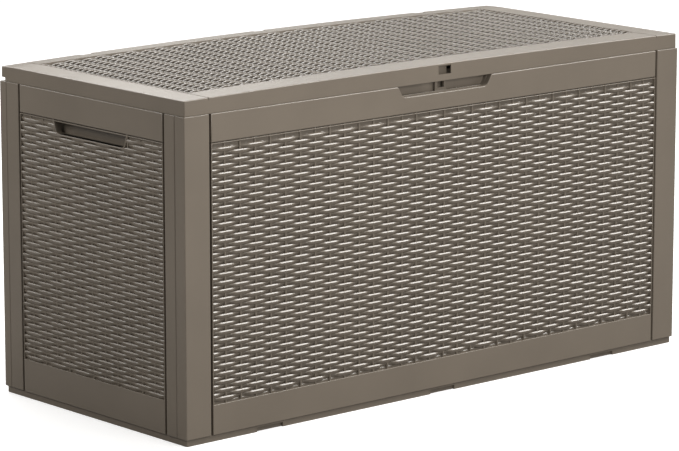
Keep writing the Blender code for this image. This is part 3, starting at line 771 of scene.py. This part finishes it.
def hand_pocket(wall, paint):
    """A hand pocket: a rounded trough with a floor and a roof, and a bead round its mouth."""
    path = open_cup(HAND_TOP_HALF, HAND_LOW_HALF, FIELD_HIGH, HAND_LOW, HAND_ROUND)
    bead = bmesh.new()
    rounded(bead, strip(path, HAND_RIM, FIELD_HIGH), wall.place, 0, PLATE, HAND_RIM * 0.45)
    wall.add("pocket_rim", bead, paint)

    half = HAND_TOP_HALF + 0.5 * MM
    turned = HAND_DEEP - HAND_CORNER
    right = [(half, 1.5 * MM), (half, turned)]
    right += arc((half - HAND_CORNER, turned), HAND_CORNER, 0, 90, 6)
    trough = right + [(-a, depth) for a, depth in reversed(right)]
    outer = inwards(trough, -SKIN)
    outer[0].y = trough[0][1]
    outer[-1].y = trough[-1][1]

    def upright(a, depth, below):
        return wall.place(a, HAND_ROOF + SKIN - below, depth)

    sides = bmesh.new()
    ring = [tuple(p) for p in outer] + [tuple(p) for p in reversed(trough)]
    rounded(sides, ring, upright, 0, HAND_ROOF - HAND_LOW + 2 * SKIN, 0.3 * MM)
    wall.add("pocket_walls", sides, paint)
    plates = {"roof": (0.0, PLATE), "floor": (HAND_ROOF - HAND_LOW + SKIN, 1.5 * MM)}
    for part, (below, front) in plates.items():
        plate = bmesh.new()
        outline = [(half, front)] + trough[1:-1] + [(-half, front)]
        rounded(plate, outline, upright, below, below + SKIN, 0.5 * MM)
        wall.add("pocket_" + part, plate, paint)


def pocket_mask():
    """Leaves the hand pocket's mouth out of a side panel's weave."""
    outline = cup_outline(HAND_TOP_HALF, HAND_LOW_HALF, FIELD_HIGH + 9 * MM, HAND_LOW, HAND_ROUND)
    wider = [tuple(p) for p in inwards(outline, -1.0 * MM)]
    return lambda a, b: ~inside(wider, a, b)


def build_box(paint, side_paint):
    """The walls with their grips, the posts and the floor."""
    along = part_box("back_panel")[1]
    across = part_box("right_panel")[1]
    front = Wall("front", 0, along.y, along.x, FRONT_FIELD_LOW, FRONT_WEAVE)
    back = Wall("back", 180, along.y, along.x, FRONT_FIELD_LOW, FRONT_WEAVE)
    left = Wall("left", -90, across.x, across.y, SIDE_FIELD_LOW, SIDE_WEAVE)
    right = Wall("right", 90, across.x, across.y, SIDE_FIELD_LOW, SIDE_WEAVE)
    plain_bands(front, paint, cup_outline(GRIP_TOP_HALF, GRIP_LOW_HALF, front.top, GRIP_LOW, GRIP_ROUND))
    plain_bands(back, paint)
    wall_weave(front, paint)
    wall_weave(back, paint)
    near_mouth = [side * line for line in POCKET_END_LINES for side in (-1, 1)]
    for wall in (left, right):
        plain_bands(wall, paint)
        wall_weave(wall, side_paint, pocket_mask(), near_mouth)
        hand_pocket(wall, paint)
    grip_recess(front, paint)
    for end, line_at in (("front", FRONT_LINE_AT), ("back", BACK_LINE_AT)):
        for side in ("left", "right"):
            post(f"post_{end}_{side}", front.thick, line_at, paint)
    inner_skin(front, paint, (GRIP_TOP_HALF + 2 * SKIN, GRIP_LOW - 2 * SKIN, front.top + SKIN))
    inner_skin(back, paint)
    for wall in (left, right):
        inner_skin(wall, paint, (HAND_TOP_HALF + SKIN, HAND_LOW - SKIN, HAND_ROOF + SKIN))
    floor_panel(paint)


def floor_panel(paint):
    """The floor's upper face, pressed into shallow squares."""
    panel_low, panel_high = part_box("back_panel")
    half_x = panel_high.x + 10 * MM
    half_y = panel_low.y - 6 * MM
    top = panel_low.z - 0.3 * MM
    pitch_x = 2 * half_x / FLOOR_SQUARES[0]
    pitch_y = 2 * half_y / FLOOR_SQUARES[1]

    def shape(a, b):
        near_x = np.abs(a / pitch_x - np.round(a / pitch_x)) * pitch_x
        near_y = np.abs(b / pitch_y - np.round(b / pitch_y)) * pitch_y
        channel = np.clip((np.minimum(near_x, near_y) - 2 * MM) / (3 * MM), 0, 1)
        return a, b, 1.6 * MM * channel

    def lines(half, pitch, count):
        found = {-half, half}
        for i in range(-count // 2, count // 2 + 1):
            found |= {i * pitch + shift * MM for shift in (-5, -2, 0, 2, 5)}
        return sorted(a for a in found if abs(a) <= half)

    def place(a, b, height):
        return np.stack([a, b, top + height], axis=-1)

    xs = lines(half_x, pitch_x, FLOOR_SQUARES[0])
    ys = lines(half_y, pitch_y, FLOOR_SQUARES[1])
    data = relief("floor_panel", xs, ys, shape, place, -1.5 * MM)
    show("floor_panel", data, paint, "box", [], sharp=60, weighted=False)


# Lid


class LidSize:
    """Where the lid's edges, grooves and weave field lie, from the frame's own boxes."""

    def __init__(self):
        self.half_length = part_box("right_panel")[1].x
        self.half_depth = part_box("back_panel")[1].y
        self.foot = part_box("lid_shell")[0].z
        self.groove = self.half_length - LID_GROOVE_AT
        self.field_x = self.groove - LID_GROOVE_HALF - 1.0 * MM
        self.field_front = LID_FIELD_FRONT - self.half_depth
        self.field_back = self.half_depth - LID_FIELD_BACK
        self.inner_x = self.half_length - LIP_INSET - LID_CORNER
        self.inner_y = self.half_depth - LIP_INSET - LID_CORNER

    def crown(self, x, y):
        """The height of the plain lid, which is domed along its length, rises to the back and dips there."""
        share = y / (2 * self.half_depth) + 0.5
        rise = LID_CROWN_FRONT + (LID_CROWN_BACK - LID_CROWN_FRONT) * share
        fall = LID_BAND_FALL * np.clip(y - self.field_back, 0, None)
        return LID_EDGE + rise * (1 - (x / self.half_length) ** 2) - fall

    def top(self, x, y):
        """The plain bands' surface, with the grooves cut in and the weave field dropped."""
        off_groove = np.abs(np.abs(x) - self.groove)
        groove = LID_GROOVE_DEEP * np.clip(1 - off_groove / LID_GROOVE_HALF, 0, 1)
        off_side = (self.field_x - np.abs(x)) / (1.2 * MM)
        off_front = (y - self.field_front) / (3.5 * MM)
        off_back = (self.field_back - y) / (1.5 * MM)
        off = np.clip(np.minimum(np.minimum(off_side, off_front), off_back), 0, 1)
        return self.crown(x, y) - groove - LID_BAND_DROP * off**1.7


def lid_lines(size):
    """The lid's grid lines along x and y: close at the grooves and at the weave field's edges."""
    groove = size.groove
    wide = LID_GROOVE_HALF
    field = size.field_x
    marks = [size.inner_x, groove + wide, groove + wide * 0.5, groove, groove - wide * 0.5, groove - wide]
    marks += [field, field - 0.5 * MM, field - 1.2 * MM]
    xs = sorted({side * x for x in marks for side in (-1, 1)} | {i * field / 12 for i in range(-11, 12)})
    front = size.field_front
    back = size.field_back
    ys = [-size.inner_y, front - 20 * MM, front, front + 0.8 * MM, front + 1.9 * MM, front + 3.5 * MM]
    ys += [front + (back - front) * i / 6 for i in range(1, 6)]
    ys += [back - 1.5 * MM, back - 0.6 * MM, back, REAR_LIP_FROM - 0.5 * MM, REAR_LIP_FROM, size.inner_y]
    return np.array(xs), np.array(ys)


def spokes(xs, ys):
    """Going round the grid's border: where each spoke starts and which way it points."""
    low_x, high_x, low_y, high_y = xs[0], xs[-1], ys[0], ys[-1]
    sides = [
        ([(x, low_y) for x in xs], -90),
        ([(high_x, y) for y in ys], 0),
        ([(x, high_y) for x in xs[::-1]], 90),
        ([(low_x, y) for y in ys[::-1]], 180),
    ]
    starts, headings = [], []
    for points, heading in sides:
        starts += points + [points[-1]] * 3
        headings += [heading] * len(points) + [heading + turn for turn in (22.5, 45, 67.5)]
    angles = np.radians(headings)
    return np.array(starts), np.column_stack([np.cos(angles), np.sin(angles)])


def lid_shell_mesh(size):
    """The plain bands on top, the rounded edge, the lip all round and the underside, as one closed shell."""
    xs, ys = lid_lines(size)
    x, y = np.meshgrid(xs, ys)
    mesh = bmesh.new()
    for heights in (size.top(x, y), size.crown(x, y) - LID_UNDER):
        verts = [mesh.verts.new(p) for p in zip(x.reshape(-1), y.reshape(-1), heights.reshape(-1))]
        for face in quads(len(ys), len(xs)):
            mesh.faces.new([verts[i] for i in face])

    start, way = spokes(xs, ys)
    top = size.top(start[:, 0], start[:, 1])
    crown = size.crown(start[:, 0], start[:, 1])
    at_back = start[:, 1] > REAR_LIP_FROM - 0.1 * MM
    foot = np.where(at_back, REAR_LIP_FOOT, size.foot)
    rings = [(0.0, top)]
    for turn in (15, 30, 45, 60, 75, 90):
        out = LID_CORNER * math.sin(math.radians(turn))
        rings.append((out, top - LID_FILLET * (1 - math.cos(math.radians(turn)))))
    lip = LID_CORNER + LIP_INSET - LIP_FOOT_INSET
    rings.append((LID_CORNER, crown - LID_FILLET - LID_GROOVE_DEEP * 1.2))
    rings.append((lip, foot + 1.0 * MM))
    rings.append((lip - 0.5 * MM, foot))
    rings.append((lip - SKIN, foot))
    rings.append((0.2 * MM, crown - LID_UNDER))
    rings.append((0.0, crown - LID_UNDER))
    made = []
    for out, height in rings:
        points = np.column_stack([start + way * out, height])
        made.append([mesh.verts.new(p) for p in points])
    for near, far in zip(made, made[1:]):
        band_between(mesh, near, far)
    bmesh.ops.remove_doubles(mesh, verts=mesh.verts, dist=1e-6)
    return finished("lid_shell_uncut", mesh)


def box_mesh(name, low, high):
    """A box between two corners."""
    mesh = bmesh.new()
    size = [b - a for a, b in zip(low, high)]
    centre = [(a + b) / 2 for a, b in zip(low, high)]
    bmesh.ops.create_cube(mesh, size=1.0, matrix=Matrix.Translation(centre) @ Matrix.Diagonal((*size, 1.0)))
    return finished(name, mesh)


def cut(name, data, cutters):
    """The mesh with each cutter's shape taken out of it."""
    target = bpy.data.objects.new(name, data)
    bpy.context.scene.collection.objects.link(target)
    helpers = []
    for cutter in cutters:
        helper = bpy.data.objects.new(cutter.name, cutter)
        bpy.context.scene.collection.objects.link(helper)
        helpers.append(helper)
        modifier = target.modifiers.new(cutter.name, "BOOLEAN")
        modifier.operation = "DIFFERENCE"
        modifier.solver = "EXACT"
        modifier.object = helper
    evaluated = target.evaluated_get(bpy.context.evaluated_depsgraph_get())
    result = bpy.data.meshes.new_from_object(evaluated)
    for helper in [target, *helpers]:
        bpy.data.objects.remove(helper)
    result.name = name
    return result


def build_lid(paint, woven_paint, inner_paint):
    """The lid's shell with its padlock window and hinge cut-outs, its weave and its inner panel."""
    size = LidSize()
    half, low, high = WINDOW
    front = -size.half_depth
    cutters = [box_mesh("window", (-half, front - 10 * MM, low), (half, front + 10 * MM, high))]
    for which in ("left", "middle", "right"):
        knuckle_low, knuckle_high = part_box("hinge_bracket_" + which)
        x = (knuckle_low.x + knuckle_high.x) / 2
        near = (x - HINGE_NOTCH_HALF, size.half_depth - HINGE_NOTCH_DEEP, size.foot - 10 * MM)
        far = (x + HINGE_NOTCH_HALF, size.half_depth + 10 * MM, LID_EDGE + 20 * MM)
        cutters.append(box_mesh("notch_" + which, near, far))
    shell = cut("lid_shell_cover", lid_shell_mesh(size), cutters)
    show("lid_shell_cover", shell, paint, "lid", ["lid_shell"], sharp=40)
    lid_weave(size, woven_paint)
    lid_liner(inner_paint)


def lid_weave(size, paint):
    """The lid's weave, over its crown; the strands run along the lid and the stakes across it."""
    weave = LID_WEAVE
    lines = weave_lines(size.field_x - 0.3 * MM, weave["column_pitch"])
    foot = size.field_front + weave["plain_end"]
    pitch = weave["row_pitch"]
    low_margin = (foot - size.field_front - 1 * MM) / pitch
    depth = size.field_back - size.field_front
    high_margin = (depth - weave["plain_end"] - 0.5 * MM) / pitch - weave["rows"]

    def place(x, y, height):
        return np.stack([x, y, size.crown(x, y) + height], axis=-1)

    for data in weave_pieces("lid", weave, lines, foot, low_margin, high_margin, place, LID_WEAVE_BACK):
        show(data.name, data, paint, "lid", ["lid_shell"], sharp=38, weighted=False)


def lid_liner(paint):
    """The lid's inner panel: smooth, with eight shallow fields pressed up into it."""
    low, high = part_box("lid_liner")
    fields_x = [(i * 0.27 - 0.125, i * 0.27 + 0.125) for i in (-1.5, -0.5, 0.5, 1.5)]
    fields_y = [(low.y + 0.030, low.y + 0.200), (low.y + 0.220, low.y + 0.390)]
    soft = 4 * MM

    def shape(a, b):
        depth = np.zeros(a.shape)
        for x0, x1 in fields_x:
            for y0, y1 in fields_y:
                off = np.minimum(np.minimum(a - x0, x1 - a), np.minimum(b - y0, y1 - b))
                depth = np.maximum(depth, np.clip(off / soft, 0, 1))
        return a, b, -2.5 * MM * depth * depth * (3 - 2 * depth)

    def lines(low_edge, high_edge, fields):
        found = {low_edge, high_edge}
        for start, end in fields:
            found |= {start + soft * share for share in (0, 0.3, 0.6, 1)}
            found |= {end - soft * share for share in (0, 0.3, 0.6, 1)}
        return sorted(found)

    def place(a, b, height):
        return np.stack([a, b, low.z - height], axis=-1)

    xs = lines(low.x, high.x, fields_x)
    ys = lines(low.y, high.y, fields_y)
    data = relief("lid_liner_face", xs, ys, shape, place, low.z - high.z)
    show("lid_liner_face", data, paint, "lid", ["lid_liner"], sharp=60, weighted=False)


# Stage


def seen_and_lighting(tree, seen, lighting, output):
    """Mixes two shaders of the stage: the camera sees one, and the other lights the object."""
    path = tree.nodes.new("ShaderNodeLightPath")
    mix = tree.nodes.new("ShaderNodeMixShader")
    tree.links.new(path.outputs["Is Camera Ray"], mix.inputs["Fac"])
    tree.links.new(lighting, mix.inputs[1])
    tree.links.new(seen, mix.inputs[2])
    tree.links.new(mix.outputs["Shader"], output.inputs["Surface"])


def surround():
    """A white background, dimmer where it lights the object."""
    world = bpy.data.worlds.new("white_surround")
    world.use_nodes = True
    bpy.context.scene.world = world
    nodes = world.node_tree.nodes
    nodes.clear()
    shades = []
    for strength in (1.0, AMBIENT):
        background = nodes.new("ShaderNodeBackground")
        background.inputs["Color"].default_value = (1.0, 1.0, 1.0, 1.0)
        background.inputs["Strength"].default_value = strength
        shades.append(background.outputs["Background"])
    output = nodes.new("ShaderNodeOutputWorld")
    seen_and_lighting(world.node_tree, shades[0], shades[1], output)


def pale_floor():
    """A wide pale floor that fades into the background and throws little light back up."""
    corners = [(-FLOOR_HALF, -FLOOR_HALF, 0), (FLOOR_HALF, -FLOOR_HALF, 0)]
    corners += [(FLOOR_HALF, FLOOR_HALF, 0), (-FLOOR_HALF, FLOOR_HALF, 0)]
    floor = bpy.data.objects.new("floor", mesh_of("floor", corners, [(0, 1, 2, 3)]))
    bpy.context.scene.collection.objects.link(floor)
    pale = bpy.data.materials.new("pale_floor")
    pale.use_nodes = True
    nodes = pale.node_tree.nodes
    shader = nodes["Principled BSDF"]
    shader.inputs["Base Color"].default_value = (0.80, 0.80, 0.80, 1.0)
    shader.inputs["Roughness"].default_value = 0.9
    shader.inputs["Emission Color"].default_value = (1.0, 1.0, 1.0, 1.0)
    shader.inputs["Emission Strength"].default_value = 0.5
    dull = nodes.new("ShaderNodeBsdfDiffuse")
    dull.inputs["Color"].default_value = (0.30, 0.29, 0.28, 1.0)
    seen_and_lighting(pale.node_tree, shader.outputs["BSDF"], dull.outputs["BSDF"], nodes["Material Output"])
    floor.data.materials.append(pale)


def stage_and_light():
    """A pale floor, a white surround and soft lights."""
    bpy.context.scene.view_settings.view_transform = "Standard"
    surround()
    pale_floor()
    for name, place, size, power in LIGHTS:
        area_light(name, place, size, power)


def area_light(name, place, size, power):
    """A soft rectangular light that points at the middle of the box."""
    light = bpy.data.lights.new(name, "AREA")
    light.shape = "RECTANGLE"
    light.size, light.size_y = size
    light.energy = power
    light.color = (1.0, 0.985, 0.96)
    made = bpy.data.objects.new(name, light)
    bpy.context.scene.collection.objects.link(made)
    made.location = place
    made.rotation_euler = (Vector(LIT_POINT) - Vector(place)).to_track_quat("-Z", "Y").to_euler()


def camera():
    """A long lens from the front left, a little above the lid."""
    data = bpy.data.cameras.new("camera")
    data.lens = CAMERA_LENS
    data.clip_end = 100.0
    made = bpy.data.objects.new("camera", data)
    bpy.context.scene.collection.objects.link(made)
    made.location = CAMERA_PLACE
    made.rotation_euler = (math.radians(90 - CAMERA_PITCH), 0, math.radians(-CAMERA_YAW))
    bpy.context.scene.camera = made


def main():
    """Builds every piece, the stage and the camera."""
    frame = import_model()
    looks = slot_looks()
    slots = {entry["node"]: entry["material_slot"] for entry in frame["record"]["subparts"]}
    for name, node in frame["nodes"].items():
        node.data.materials.clear()
        node.data.materials.append(looks[slots[name]])
    # Painted shade: the side weave gets little darkening in its hollows; the lid's weave gets a darker taupe
    # and the most
    build_box(looks["taupe_resin"], resin("woven_side_look", TAUPE, 0.34, shade=0.05))
    shaded_lid_weave = resin("woven_lid_shaded_look", LID_WEAVE_SHADED_TAUPE, 0.24, shade=0.78)
    build_lid(looks["taupe_resin"], shaded_lid_weave, looks["inner_resin"])
    stage_and_light()
    camera()


main()
